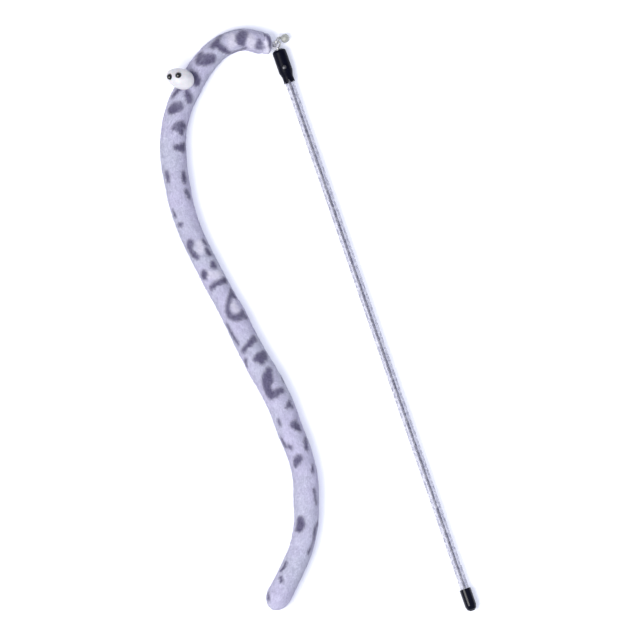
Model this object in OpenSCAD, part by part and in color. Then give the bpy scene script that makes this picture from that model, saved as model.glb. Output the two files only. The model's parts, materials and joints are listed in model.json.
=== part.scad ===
// Cat teaser wand: a clear-sleeved wire rod with a swivel, a bell and a long stuffed plush tail.
// It lies flat on the floor, Z up. The rod runs along Y, with its toy end towards +Y.
// Every piece is placed from the middle of the connector's top face, on the rod's axis.

/* [Rod] */
// Length of the rod from the connector's top to the end cap's far face
wand_l = 474.5; // [320:0.5:700]
// Outer diameter of the clear sleeve
sleeve_d = 7.2; // [5.4:0.1:8]
// Diameter of the twisted steel core
core_d = 2.4; // [1.5:0.1:2.5]
// Wall of the end cap round the sleeve
cap_wall = 1; // [0.8:0.1:2]
// Length of the end cap
cap_l = 18.5; // [12:0.5:30]
// Thickness of the end cap's closed end
cap_end_t = 3; // [0.8:0.1:4]
// Bevel round the end cap's far edge
cap_bevel = 2.8; // [0.3:0.1:3]
// Length of the crimp ring on the core's end
stop_l = 2.4; // [1.5:0.1:4]
// Wall of that crimp ring round the core
stop_wall = 0.7; // [0.4:0.1:0.8]

/* [Connector] */
// Length of the connector with its notched collar
connector_l = 27.5; // [23:0.5:36]
// Wall of the connector round the sleeve
connector_wall = 2; // [1.8:0.1:3]
// Bevel round the connector's top edge
connector_bevel = 1.2; // [0.4:0.1:1.4]
// Length that the sleeve goes into the connector
sleeve_in = 7; // [5:0.5:9]
// Length of the notched collar
collar_l = 5.4; // [4.5:0.1:7]
// Wall of the notched collar round the sleeve
collar_wall = 0.8; // [0.5:0.1:1.6]
// Length of the taper above the collar
taper_l = 4; // [2:0.5:5]
// Number of notches in the collar
notches = 6; // [4:1:8]
// Depth of each notch
notch_l = 3.4; // [2:0.1:4]
// Width of each notch at its mouth
notch_w = 2.4; // [1:0.1:3]
// Thickness of the ferrule's closed end above the core
ferrule_end_t = 2; // [1:0.1:3]
// Step from the sleeve's diameter down to the ferrule's, on each side
ferrule_step = 0.3; // [0.2:0.05:0.6]
// Diameter of the locking pin's shank
pin_d = 2; // [1.5:0.1:2.4]
// Diameter of the locking pin's domed head
pin_head_d = 3.6; // [2.8:0.1:4.2]
// Height of the locking pin's domed head
pin_head_h = 0.9; // [0.5:0.1:1.2]
// Depth of the dimple that the pin has in the ferrule
dimple_t = 0.7; // [0.4:0.1:0.8]
// Distance from the sleeve's end to the middle of the locking pin
pin_up = 6; // [3:0.1:7]

/* [Swivel] */
// Diameter of the swivel's barrel
barrel_d = 5.9; // [5.7:0.1:6.4]
// Depth of the barrel in the connector
barrel_l = 6.8; // [6.2:0.1:7.6]
// Thickness of the barrel's flange
flange_t = 0.8; // [0.5:0.1:1.2]
// Reach of the flange beyond the barrel
flange_reach = 0.55; // [0.3:0.05:1]
// Depth of the groove round the barrel
groove_t = 0.35; // [0.2:0.05:0.45]
// Height of that groove
groove_h = 1.5; // [1:0.1:2]
// Depth of the groove's upper side below the connector's top
groove_down = 3; // [2.6:0.1:3.4]
// Thickness of the barrel's roof over the eye's head
roof_t = 2.5; // [2:0.1:3]
// Diameter of the turning eye's shank
shank_d = 1.9; // [1.5:0.1:2.2]
// Diameter of the head that holds the shank in
head_d = 3.4; // [2.8:0.1:3.5]
// Thickness of that head
head_t = 1; // [0.6:0.1:1.6]
// Diameter of the boss under the eye's bow
boss_d = 3.2; // [2.6:0.1:4]
// Height of that boss
boss_h = 1.2; // [0.8:0.1:2]
// Radius of the eye's bow, to the middle of its wire
bow_r = 2.75; // [2.7:0.05:3.4]
// Diameter of the bow's wire
bow_d = 1.5; // [1.2:0.05:1.6]
// Depth of the bow in its boss
bow_sink = 1; // [0.6:0.1:1.1]

/* [Link ring] */
// Radius of the link ring, to the middle of its wire
ring_r = 4.2; // [4:0.1:5.5]
// Diameter of the link ring's wire
ring_d = 1.2; // [1:0.05:1.3]
// Turn of the link ring's plane from X, where it hooks the bow
ring_turn = 50; // [44:1:56]
// Lean of the link ring from upright
ring_lean = 10; // [0:1:14]
// Gap between the link ring's wire and the bow's wire
ring_gap = 0.1; // [0.05:0.05:0.2]

/* [Bell] */
// Diameter of the bell
bell_d = 7.2; // [6.4:0.1:8]
// Wall of the bell
bell_wall = 0.5; // [0.4:0.05:0.7]
// Height of the crimped band round the bell's middle
band_h = 0.7; // [0.4:0.1:1.2]
// Reach of that band beyond the bell
band_reach = 0.25; // [0.15:0.05:0.4]
// Radius of the bell's hanging eye, to the middle of its wire
bell_eye_r = 1.3; // [1.2:0.05:1.6]
// Diameter of the hanging eye's wire
bell_eye_d = 0.8; // [0.6:0.05:0.85]
// Place of the bell on the link ring, as an angle
bell_at = -40; // [-46:1:-34]
// Width of the bell's slot
slot_w = 0.9; // [0.5:0.1:1.2]
// Diameter of the holes at the slot's ends
slot_hole_d = 1.8; // [1.2:0.1:2.2]
// Turn of the slot about the bell's axis
slot_turn = 35; // [0:5:90]
// Diameter of the loose pea
pea_d = 2; // [1.6:0.1:2.4]

/* [Tail] */
// Length of the tail between its rounded ends
tail_l = 516; // [460:1:600]
// Largest diameter of the tail
tail_d = 21.8; // [18:0.1:25]
// Thickness of the plush cover
cover_t = 1.3; // [0.8:0.1:1.8]
// Height of the rounded end at the ring
near_end_h = 3.6; // [2:0.1:5]
// Height of the rounded end at the tip
far_end_h = 11.4; // [6:0.1:14]
// Depth that the tail is pressed flat on the floor
tail_flat = 0.5; // [0.3:0.05:0.8]
// Open gap at each bend of the tail
bend_gap = 0.9; // [0.7:0.05:1.4]
// Diameter of the hanging cord
cord_d = 1.6; // [1.3:0.05:1.7]
// Radius of the cord's loop, to the middle of the cord
cord_r = 1.65; // [1.55:0.05:1.9]
// Depth of the cord in the tail
cord_in = 6; // [4:0.5:12]

/* [Eye piece] */
// Length of the egg-shaped eye piece
egg_l = 23; // [18:0.5:27]
// Width of the egg-shaped eye piece
egg_d = 16.4; // [13:0.2:19]
// Depth of the eye piece's seat on the tail
egg_sink = 2.2; // [1.6:0.1:3]
// Turn of the egg's large end, counter-clockwise from X
egg_turn = -39; // [-60:1:-10]
// Place of the eye piece round the tail, up from level
egg_roll = 55; // [45:1:65]
// Diameter of each pupil bead
pupil_d = 5.2; // [3.6:0.1:5.8]
// Depth of each pupil bead's middle in the egg
pupil_sink = 0.9; // [0.6:0.1:1.4]
// Diameter of the thread post that holds the eye piece
thread_d = 1.6; // [1.2:0.1:2.4]
// Depth of the thread post in the egg and in the tail
thread_in = 4; // [3:0.5:5]

/* [Hidden] */
$fn = 64;

// Clearance all round between fitted pieces
fit = 0.05;
// Small gap that keeps two end faces apart
face_gap = 0.1;
// Overrun of every cut
cut = 1;

// Rod
sleeve_r = sleeve_d / 2;
core_r = core_d / 2;
cap_r = sleeve_r + cap_wall;
connector_r = sleeve_r + connector_wall;
axis_h = connector_r;
pocket_end_y = cap_end_t - wand_l;
pocket_top_y = pocket_end_y + stop_l + 2 * face_gap;
sleeve_top_y = sleeve_in - connector_l;
stop_r = core_r + stop_wall;

// Connector and ferrule
ferrule_r = sleeve_r - ferrule_step;
ferrule_top_y = -barrel_l - 2 * face_gap;
ferrule_bore_y = ferrule_top_y - ferrule_end_t;
pin_y = sleeve_top_y + pin_up;
pin_seat_z = sqrt(pow(connector_r, 2) - pow(pin_head_d / 2, 2)) - face_gap;

// Swivel
barrel_r = barrel_d / 2;
groove_r = barrel_r - groove_t;
head_r = head_d / 2;
boss_y = flange_t + 2 * face_gap;
bow_y = boss_y + boss_h + bow_r + bow_d / 2 - bow_sink;
// Share of the head's radius by which its chamber is wider
chamber_share = 0.16;

// Link ring: it hooks the bow at hook, in a plane of outward and upward directions
hook = [bow_r * cos(ring_turn), bow_y + bow_r * sin(ring_turn), 0];
ring_out = [cos(ring_turn), sin(ring_turn), 0];
ring_up = [-sin(ring_turn) * sin(ring_lean), cos(ring_turn) * sin(ring_lean), cos(ring_lean)];
ring_c = hook + (ring_r - bow_d / 2 - ring_d / 2 - ring_gap) * ring_up;
cord_at = ring_c - ring_r * ring_out;

// Bell: it hangs on the link ring and rests on the floor
bell_r = bell_d / 2;
bell_hang = bell_r - bell_wall / 2 + bell_eye_r + bell_eye_d / 2;
bell_eye_c = ring_c + ring_r * (cos(bell_at) * ring_out + sin(bell_at) * ring_up);
bell_lift = (axis_h + bell_eye_c[2] - bell_r) / bell_hang;
bell_heading = -24;
bell_dir = [sqrt(1 - pow(bell_lift, 2)) * cos(bell_heading),
            sqrt(1 - pow(bell_lift, 2)) * sin(bell_heading), -bell_lift];
bell_c = bell_eye_c + bell_hang * bell_dir;
ring_along = cos(bell_at) * ring_up - sin(bell_at) * ring_out;
bell_side = unit(ring_along - (ring_along * bell_dir) * bell_dir);
bell_spin = atan2(bell_side * [sin(bell_heading), -cos(bell_heading), 0],
                  bell_side * [-bell_lift * cos(bell_heading), -bell_lift * sin(bell_heading),
                               -sqrt(1 - pow(bell_lift, 2))]);
pea_c = bell_c - [0, 0, bell_r - bell_wall - pea_d / 2 - face_gap];
pea_axis = [sin(bell_heading), -cos(bell_heading), 0];

// Tail: where its near end starts, as shares of the link ring's radius from the cord
tail_start_shares = [-1.31, 0.91];
// The tail's heading at each of its equal steps, counter-clockwise from X
tail_headings = [151, 181, 207, 219, 226, 239, 251, 259, 263, 269, 276, 278, 280,
                 279, 277, 279, 281, 277, 271, 273, 264, 254, 249, 238, 227, 224];
// Its headings just before and just after
lead_heading = 172;
trail_heading = 222;
// Its thickness at each step's end, as a share of the largest diameter
tail_shares = [0.83, 0.82, 0.86, 0.91, 0.95, 0.96, 0.97, 0.97, 0.95, 0.91, 0.88, 0.87, 0.87,
               0.88, 0.91, 0.94, 0.98, 1, 0.99, 0.98, 0.95, 0.95, 0.95, 0.91, 0.89, 0.91, 0.92];
// The steps at which the tail bends, with its two ends
bends = [0, 6, 11, 16, 21, 26];
// Sides of the tail's rings, and rings of each rounded end
tail_sides = 12;
end_rings = 5;
tail_step = tail_l / len(tail_headings);
tail_start = [cord_at[0] + tail_start_shares[0] * ring_r, cord_at[1] + tail_start_shares[1] * ring_r];
tail_line = [for (i = 0, p = tail_start; i <= len(tail_headings);
                  p = p + tail_step * way(tail_headings[min(i, len(tail_headings) - 1)]),
                  i = i + 1) p];

function unit(v) = v / norm(v);
function way(h) = [cos(h), sin(h)];
// Four neighbouring points of the tail's middle line
function four(i) = [i > 0 ? tail_line[i - 1] : tail_line[0] - tail_step * way(lead_heading),
                    tail_line[i], tail_line[i + 1],
                    i + 2 < len(tail_line) ? tail_line[i + 2]
                                           : tail_line[i + 1] + tail_step * way(trail_heading)];
function span_of(u) = min(floor(u), len(tail_line) - 2);
// Smooth point, heading and radius at any step count
function curve(q, t) = q[1] + t / 2 * ((q[2] - q[0]) + t * ((2 * q[0] - 5 * q[1] + 4 * q[2] - q[3])
                       + t * (3 * q[1] - q[0] - 3 * q[2] + q[3])));
function slope(q, t) = (q[2] - q[0]) + 2 * t * (2 * q[0] - 5 * q[1] + 4 * q[2] - q[3])
                       + 3 * t * t * (3 * q[1] - q[0] - 3 * q[2] + q[3]);
function tail_at(u) = curve(four(span_of(u)), u - span_of(u));
function heading_at(u) = let (s = slope(four(span_of(u)), u - span_of(u))) atan2(s[1], s[0]);
function radius_at(u) = let (i = span_of(u))
    tail_d / 2 * (tail_shares[i] + (u - i) * (tail_shares[i + 1] - tail_shares[i]));
// Height of the tail's middle line, so that its lowest face is pressed flat
function height_at(u) = radius_at(u) * cos(180 / tail_sides) - tail_flat - axis_h;

// One ring of the tail at step u, moved by ahead along it, of radius r, no lower than low
function ring_at(u, ahead, r, low) = let (p = tail_at(u), h = heading_at(u))
    [for (j = [0:tail_sides - 1]) let (a = (j + 0.5) * 360 / tail_sides)
        [p[0] + ahead * cos(h) - r * cos(a) * sin(h),
         p[1] + ahead * sin(h) + r * cos(a) * cos(h),
         max(height_at(u) + r * sin(a), low)]];
function tip_at(u, ahead) = let (p = tail_at(u), h = heading_at(u))
    [p[0] + ahead * cos(h), p[1] + ahead * sin(h), height_at(u)];
// How far behind a bend the hollow end's rim is, for a piece inset by t
function rim_back(u, t) = sqrt(pow(radius_at(u) + bend_gap + t, 2) - pow(radius_at(u) - t, 2));

// Rings of piece k of the tail, inset by t: a round end, the middle, then a hollow or round end
function piece_rings(k, t) = let (a = bends[k - 1], b = bends[k], low = t - axis_h,
                                  last = k == len(bends) - 1,
                                  back = last ? 0 : rim_back(b, t),
                                  near = (k == 1 ? near_end_h : radius_at(a)) - t,
                                  ra = radius_at(a) - t, rb = radius_at(b) - t,
                                  rim = last ? 0 : atan2(back, rb),
                                  round_r = radius_at(b) + bend_gap + t)
    concat(
        [for (m = [end_rings - 1:-1:1]) let (w = 90 * m / end_rings)
            ring_at(a, -near * sin(w), ra * cos(w), low)],
        [for (u = [a:0.5:b]) if (last || (b - u) * tail_step > back * 1.1)
            ring_at(u, 0, radius_at(u) - t, low)],
        last ? [for (m = [1:end_rings - 1]) let (w = 90 * m / end_rings)
                   ring_at(b, (far_end_h - t) * sin(w), rb * cos(w), low)]
             : [for (m = [0:end_rings - 1]) let (w = rim + (90 - rim) * m / end_rings)
                   ring_at(b, -round_r * sin(w), round_r * cos(w), low)]);
function first_tip(k, t) = tip_at(bends[k - 1], t - (k == 1 ? near_end_h : radius_at(bends[k - 1])));
function last_tip(k, t) = k == len(bends) - 1 ? tip_at(bends[k], far_end_h - t)
                                              : tip_at(bends[k], -radius_at(bends[k]) - bend_gap - t);

// Faces of a stack of n rings with a point at each end
function stack_faces(n) = concat(
    [for (j = [0:tail_sides - 1]) [0, 1 + j, 1 + (j + 1) % tail_sides]],
    [for (i = [0:n - 2], j = [0:tail_sides - 1])
        [1 + i * tail_sides + j, 1 + (i + 1) * tail_sides + j, 1 + i * tail_sides + (j + 1) % tail_sides]],
    [for (i = [0:n - 2], j = [0:tail_sides - 1])
        [1 + i * tail_sides + (j + 1) % tail_sides, 1 + (i + 1) * tail_sides + j,
         1 + (i + 1) * tail_sides + (j + 1) % tail_sides]],
    [for (j = [0:tail_sides - 1])
        [1 + n * tail_sides, 1 + (n - 1) * tail_sides + (j + 1) % tail_sides,
         1 + (n - 1) * tail_sides + j]]);

// The whole object's middle in plan comes from its outermost pieces
tail_points = [for (k = [1:len(bends) - 1]) each [for (r = piece_rings(k, 0)) each r]];
right_x = bell_c[0] + bell_r;
left_x = min([for (p = tail_points) p[0]]);
top_y = max([for (p = tail_points) p[1]]);
origin = [-(left_x + right_x) / 2, (wand_l - top_y) / 2, axis_h];

// Egg-shaped eye piece: its place along the tail, as a share of its steps
egg_share = 0.1495;
// Its narrower end, as a share of its width
egg_narrow_share = 0.12;
egg_points = 20;
egg_u = egg_share * len(tail_headings);
egg_out = [cos(egg_roll) * sin(heading_at(egg_u)), -cos(egg_roll) * cos(heading_at(egg_u)),
           sin(egg_roll)];
egg_base = [tail_at(egg_u)[0], tail_at(egg_u)[1], height_at(egg_u)];
egg_c = egg_base + (radius_at(egg_u) + egg_d / 2 - egg_sink) * egg_out;
function egg_r(x) = egg_d / 2 * sqrt(max(1 - pow(2 * x / egg_l, 2), 0))
                    * (1 + egg_narrow_share * 2 * x / egg_l);
// Each pupil's place along the egg as a share of its half length, and its turn about the egg
left_pupil_share = -0.70;
left_pupil_turn = -21;
right_pupil_share = -0.17;
right_pupil_turn = 15;

module at_tip() { translate(origin) children(); }
// Turns upright pieces so that up becomes +Y
module along_y() { rotate([-90, 0, 0]) children(); }
module bar_y(y0, y1, r) { translate([0, y0, 0]) along_y() cylinder(h = y1 - y0, r = r); }
module ring_of(r, d) { rotate_extrude() translate([r, 0]) circle(d = d, $fn = 32); }
module in_ring_frame() {
    translate(hook) rotate([0, 0, ring_turn]) rotate([-ring_lean, 0, 0]) children();
}
module in_bell_frame() {
    translate(bell_c)
        rotate([0, acos(bell_lift), bell_heading + 180])
            rotate([0, 0, bell_spin]) children();
}
module in_egg_frame() { translate(egg_c) rotate([0, 0, egg_turn]) children(); }

module wire_core() {
    color("lightslategray") at_tip()
        bar_y(pocket_end_y + face_gap, ferrule_bore_y - 2 * face_gap, core_r);
}

module clear_sleeve() {
    color("lavender", 0.6) at_tip() difference() {
        bar_y(pocket_top_y + fit, sleeve_top_y - fit, sleeve_r);
        bar_y(pocket_top_y - cut, sleeve_top_y + cut, core_r + fit);
    }
}

module end_cap() {
    color("#17171a") at_tip() difference() {
        translate([0, -wand_l, 0]) along_y() rotate_extrude()
            polygon([[0, 0], [cap_r - cap_bevel, 0], [cap_r - cap_bevel * 0.3, cap_bevel * 0.55],
                     [cap_r, cap_bevel * 1.6], [cap_r, cap_l], [0, cap_l]]);
        bar_y(pocket_top_y, cap_l - wand_l + cut, sleeve_r + fit);
        bar_y(pocket_end_y, pocket_top_y + cut, stop_r + fit);
    }
}

module core_stop() {
    color("silver") at_tip() difference() {
        bar_y(pocket_end_y + face_gap, pocket_top_y - face_gap, stop_r);
        bar_y(pocket_end_y - cut, pocket_top_y + cut, core_r + fit);
    }
}

module connector_body() {
    collar_r = sleeve_r + collar_wall;
    mouth_w = notch_w * (1 + cut / notch_l);
    color("#1b1b1e") at_tip() difference() {
        translate([0, -connector_l, 0]) along_y() rotate_extrude()
            polygon([[0, 0], [collar_r, 0], [collar_r, collar_l], [connector_r, collar_l + taper_l],
                     [connector_r, connector_l - connector_bevel * 1.5],
                     [connector_r - connector_bevel * 0.4, connector_l - connector_bevel * 0.5],
                     [connector_r - connector_bevel, connector_l], [0, connector_l]]);
        bar_y(-connector_l - cut, sleeve_top_y, sleeve_r + fit);
        bar_y(sleeve_top_y - cut, -barrel_l, ferrule_r + fit);
        bar_y(-barrel_l - fit, -groove_down - groove_h + fit, barrel_r + fit);
        bar_y(-barrel_l - fit, cut, groove_r + fit);
        bar_y(-groove_down - fit, cut, barrel_r + fit);
        translate([0, pin_y, 0]) cylinder(h = connector_r, r = pin_d / 2 + fit);
        translate([0, pin_y, pin_seat_z]) cylinder(h = connector_r, r = pin_head_d / 2 + fit);
        for (i = [0:notches - 1])
            rotate([0, i * 360 / notches, 0]) translate([0, -connector_l, sleeve_r - cut])
                linear_extrude(height = collar_wall + 2 * cut)
                    polygon([[-mouth_w / 2, -cut], [mouth_w / 2, -cut], [0, notch_l]]);
    }
}

module core_ferrule() {
    color("darkgray") at_tip() difference() {
        bar_y(sleeve_top_y + fit, ferrule_top_y, ferrule_r);
        bar_y(sleeve_top_y - cut, ferrule_bore_y, core_r + fit);
        translate([0, pin_y, ferrule_r - dimple_t]) cylinder(h = ferrule_r, r = pin_d / 2 + fit);
    }
}

module lock_pin() {
    shank_z = ferrule_r - dimple_t + fit;
    color("gainsboro") at_tip() translate([0, pin_y, 0]) {
        translate([0, 0, shank_z]) cylinder(h = pin_seat_z + 2 * fit - shank_z, r = pin_d / 2);
        translate([0, 0, pin_seat_z + fit]) rotate_extrude()
            polygon([[0, 0], [pin_head_d / 2, 0], [pin_head_d * 0.46, pin_head_h * 0.5],
                     [pin_head_d * 0.28, pin_head_h * 0.87], [0, pin_head_h]]);
    }
}

module swivel_barrel() {
    color("silver") at_tip() difference() {
        union() {
            bar_y(-barrel_l + fit, -groove_down - groove_h, barrel_r);
            bar_y(-barrel_l + fit, fit, groove_r);
            bar_y(-groove_down, fit, barrel_r);
            bar_y(fit, flange_t, barrel_r + flange_reach);
        }
        bar_y(-barrel_l - cut, flange_t + cut, shank_d / 2 + fit);
        bar_y(-barrel_l - cut, -roof_t, head_r * (1 + chamber_share));
    }
}

module swivel_eye() {
    color("silver") at_tip() {
        bar_y(-roof_t - face_gap - head_t, -roof_t - face_gap, head_r);
        bar_y(-roof_t - face_gap - head_t, boss_y + fit, shank_d / 2);
        bar_y(boss_y, boss_y + boss_h, boss_d / 2);
        translate([0, bow_y, 0]) ring_of(bow_r, bow_d);
    }
}

module link_ring() {
    color("gainsboro") at_tip() in_ring_frame()
        translate([0, 0, ring_r - bow_d / 2 - ring_d / 2 - ring_gap])
            rotate([90, 0, 0]) ring_of(ring_r, ring_d);
}

module bell_upper() {
    inner_r = bell_r - bell_wall;
    color("darkkhaki") at_tip() in_bell_frame() {
        difference() {
            union() {
                difference() {
                    sphere(r = bell_r);
                    translate([0, 0, -bell_d]) cylinder(h = bell_d, r = bell_d);
                }
                translate([0, 0, -band_h / 2]) cylinder(h = band_h, r = bell_r + band_reach);
            }
            sphere(r = inner_r);
            translate([0, 0, -bell_d]) cylinder(h = bell_d, r = bell_r + fit / 2);
        }
        translate([0, 0, bell_hang]) rotate([0, 90, 0]) ring_of(bell_eye_r, bell_eye_d);
    }
}

module bell_lower() {
    color("darkkhaki") at_tip() in_bell_frame() difference() {
        sphere(r = bell_r);
        sphere(r = bell_r - bell_wall);
        translate([0, 0, -fit]) cylinder(h = bell_d, r = bell_d);
        rotate([0, 0, slot_turn]) {
            translate([-bell_d, -slot_w / 2, -bell_d])
                cube([2 * bell_d, slot_w, bell_d - bell_r * sin(30)]);
            translate([-bell_d, 0, -bell_r * sin(30)]) rotate([0, 90, 0])
                cylinder(h = 2 * bell_d, d = slot_hole_d);
        }
    }
}

module bell_pea() { color("dimgray") at_tip() translate(pea_c) sphere(d = pea_d); }

module cord_loop() {
    leg = tail_start - [cord_at[0], cord_at[1]];
    leg_l = norm(leg) - near_end_h + cord_in;
    color("thistle") at_tip() translate(cord_at) rotate([0, 0, atan2(leg[1], leg[0])]) {
        rotate([0, 0, 90]) rotate_extrude(angle = -180) translate([-cord_r, 0]) circle(d = cord_d, $fn = 32);
        for (side = [-cord_r, cord_r])
            translate([0, side, 0]) rotate([0, 90, 0]) cylinder(h = leg_l, d = cord_d, $fn = 32);
    }
}

// Solid of piece k of the tail, inset by t
module tail_piece(k, t) {
    rings = piece_rings(k, t);
    polyhedron(points = concat([first_tip(k, t)], [for (r = rings) each r], [last_tip(k, t)]),
               faces = stack_faces(len(rings)), convexity = 4);
}
module tail_cover(k) {
    color("#c6c1de") at_tip() difference() {
        tail_piece(k, 0);
        tail_piece(k, cover_t);
    }
}
module tail_filling(k) { color("white") at_tip() tail_piece(k, cover_t); }
module tail_cover_1() { tail_cover(1); }
module tail_cover_2() { tail_cover(2); }
module tail_cover_3() { tail_cover(3); }
module tail_cover_4() { tail_cover(4); }
module tail_cover_5() { tail_cover(5); }
module tail_filling_1() { tail_filling(1); }
module tail_filling_2() { tail_filling(2); }
module tail_filling_3() { tail_filling(3); }
module tail_filling_4() { tail_filling(4); }
module tail_filling_5() { tail_filling(5); }

// Middle of a pupil bead in the egg's own frame
function pupil_c(share, turn) = let (x = share * egg_l / 2, r = egg_r(x) - pupil_sink)
    [x, r * sin(turn), r * cos(turn)];

module eye_pod() {
    profile = [for (i = [0:egg_points]) let (x = -egg_l / 2 * cos(180 * i / egg_points))
                  [egg_r(x), x]];
    color("whitesmoke") at_tip() difference() {
        in_egg_frame() difference() {
            rotate([0, 90, 0]) rotate_extrude() polygon(profile);
            translate(pupil_c(left_pupil_share, left_pupil_turn)) sphere(d = pupil_d + 2 * fit);
            translate(pupil_c(right_pupil_share, right_pupil_turn)) sphere(d = pupil_d + 2 * fit);
        }
        translate(egg_base) rotate([0, 90, heading_at(egg_u)])
            translate([0, 0, -egg_l]) cylinder(h = 2 * egg_l, r = radius_at(egg_u) + 2 * fit);
        thread_post(thread_d / 2 + fit);
    }
}

// Straight post from the egg's middle towards the tail's, of radius r
module thread_post(r) {
    translate(egg_base) rotate([0, 90 - egg_roll, heading_at(egg_u) - 90])
        translate([0, 0, radius_at(egg_u) - thread_in]) cylinder(h = 2 * thread_in, r = r);
}

module pupil(share, turn) {
    color("black") at_tip() in_egg_frame() translate(pupil_c(share, turn)) sphere(d = pupil_d);
}
module pupil_left() { pupil(left_pupil_share, left_pupil_turn); }
module pupil_right() { pupil(right_pupil_share, right_pupil_turn); }
module eye_thread() { color("thistle") at_tip() thread_post(thread_d / 2); }

echo(origin = origin, hook = origin + hook, cord_at = origin + cord_at, bell_eye = origin + bell_eye_c,
     bell_c = origin + bell_c, bell_side = bell_side, pea_axis = pea_axis, egg_c = origin + egg_c);
for (k = [1:len(bends) - 2]) echo(bend = k, at = origin + concat(tail_at(bends[k]), [0]));

wire_core();
clear_sleeve();
end_cap();
core_stop();
connector_body();
core_ferrule();
lock_pin();
swivel_barrel();
swivel_eye();
link_ring();
bell_upper();
bell_lower();
bell_pea();
cord_loop();
tail_cover_1();
tail_cover_2();
tail_cover_3();
tail_cover_4();
tail_cover_5();
tail_filling_1();
tail_filling_2();
tail_filling_3();
tail_filling_4();
tail_filling_5();
eye_pod();
pupil_left();
pupil_right();
eye_thread();
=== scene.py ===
# %% [markdown]
# # Cat teaser wand
# A cat teaser is a thin springy rod with a toy hung on its end. This one has a steel wire in a
# clear sleeve, a black end cap and connector, a small swivel, a link ring, a jingle bell and a
# long plush tail with a spotted coat. It lies flat on the floor and is seen from straight above,
# as in the photograph. All lengths are in metres.
#
# The frame brings in the CAD solids, each in its place. This script adds what a solid can't show:
# the sewn skin and its pile, the laid cord, the stranded wire and the look of every surface.

# %% Load the frame
import json
import math

import bpy
import numpy as np
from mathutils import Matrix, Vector


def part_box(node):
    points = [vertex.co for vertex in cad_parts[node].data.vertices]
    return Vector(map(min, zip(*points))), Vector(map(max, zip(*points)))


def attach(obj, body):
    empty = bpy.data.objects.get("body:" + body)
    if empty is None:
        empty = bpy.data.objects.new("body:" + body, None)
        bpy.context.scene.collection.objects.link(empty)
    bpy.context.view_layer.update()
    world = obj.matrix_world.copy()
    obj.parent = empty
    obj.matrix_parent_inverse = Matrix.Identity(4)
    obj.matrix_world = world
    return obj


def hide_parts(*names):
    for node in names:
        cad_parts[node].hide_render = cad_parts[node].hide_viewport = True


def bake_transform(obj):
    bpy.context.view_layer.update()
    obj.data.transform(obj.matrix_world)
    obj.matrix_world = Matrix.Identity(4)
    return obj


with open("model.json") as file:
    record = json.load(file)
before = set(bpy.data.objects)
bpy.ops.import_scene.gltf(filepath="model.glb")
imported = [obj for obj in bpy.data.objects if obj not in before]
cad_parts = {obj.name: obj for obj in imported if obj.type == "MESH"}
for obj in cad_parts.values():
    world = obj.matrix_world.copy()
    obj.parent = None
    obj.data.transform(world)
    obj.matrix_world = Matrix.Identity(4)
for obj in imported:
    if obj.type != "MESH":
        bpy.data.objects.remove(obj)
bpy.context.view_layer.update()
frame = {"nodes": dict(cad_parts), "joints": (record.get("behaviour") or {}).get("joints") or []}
nodes = frame["nodes"]
joint = {j["name"]: j for j in frame["joints"]}

# %% [markdown]
# ## Places that everything else uses
# The picture and the soft pieces are measured from one place, the tip: the middle of the
# connector's top face, on the rod's axis. It is read from the CAD solid and not typed again.
# The photograph shows 0.8 mm a pixel, and the rod leans 19 degrees in it. With these two
# numbers a pixel turns into a place in plan, and the camera can be set to see the same picture.

# %% Tip of the rod
MM = 0.001
SEED = 7
low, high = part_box("connector_body")
TIP = np.array([(low[0] + high[0]) / 2, high[1], (low[2] + high[2]) / 2])
print("tip", TIP.round(4))

# %% Photograph
PHOTO_SIZE = 640
PIXEL = 0.8 * MM
LEAN = math.radians(19.09)
CENTRE_TO_TIP = np.array([39.25, 214.82]) * MM
PHOTO_CENTRE = TIP[:2] - CENTRE_TO_TIP


def plan(x, y):
    """The place in plan of the photograph's pixel (x, y)."""
    right, up = (x - PHOTO_SIZE / 2) * PIXEL, (PHOTO_SIZE / 2 - y) * PIXEL
    return PHOTO_CENTRE + np.array([math.cos(LEAN) * right + math.sin(LEAN) * up,
                                    math.cos(LEAN) * up - math.sin(LEAN) * right])


print("photo centre", PHOTO_CENTRE.round(4))

# %% [markdown]
# ## Camera
# A flat toy like this is shown from far above, so that no piece looks larger for lying nearer.
# An orthographic camera would do it too. A long lens 8 m away is used instead, as on a real
# camera: it shifts what stands 20 mm off the floor by less than half a pixel. The lens is worked
# out from the height, so that the picture is as wide as the photograph at the rod's axis.

# %% Camera
CAMERA_H = 8.0
CAMERA_REACH = 20
SENSOR = 0.036
camera = bpy.data.objects.new("camera", bpy.data.cameras.new("camera"))
bpy.context.scene.collection.objects.link(camera)
camera.data.sensor_width = SENSOR / MM
camera.data.lens = SENSOR / MM * (CAMERA_H - TIP[2]) / (PHOTO_SIZE * PIXEL)
camera.data.clip_end = CAMERA_REACH
camera.location = (*PHOTO_CENTRE, CAMERA_H)
camera.rotation_euler = (0, 0, -LEAN)
bpy.context.scene.camera = camera
bpy.context.scene.view_settings.view_transform = "Standard"
print("lens", round(camera.data.lens, 1))

# %% [markdown]
# ## A helper for nodes
# The world, the floor and every material are trees of nodes. By hand each node takes a line to
# add, one to set and one to link. One helper does all three: a keyword names a socket, and its
# value is a number, a colour or the output that feeds it. A keyword such as _0 counts sockets.

# %% Node helpers


def node_maker(tree):
    """A function that adds nodes to a tree, with their settings and sockets."""
    def add(kind, settings=None, **inputs):
        node = tree.nodes.new(kind)
        for name, value in (settings or {}).items():
            setattr(node, name, value)
        for name, value in inputs.items():
            key = int(name[1:]) if name[0] == "_" and name[1:].isdigit() else name.replace("_", " ")
            if hasattr(value, "is_output"):
                tree.links.new(value, node.inputs[key])
            else:
                node.inputs[key].default_value = value
        return node
    return add


def arithmetic(add, operation, *values):
    """A math node on numbers or outputs, in the order of its sockets."""
    sockets = {"_%d" % k: value for k, value in enumerate(values)}
    return add("ShaderNodeMath", {"operation": operation}, **sockets).outputs[0]


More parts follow.
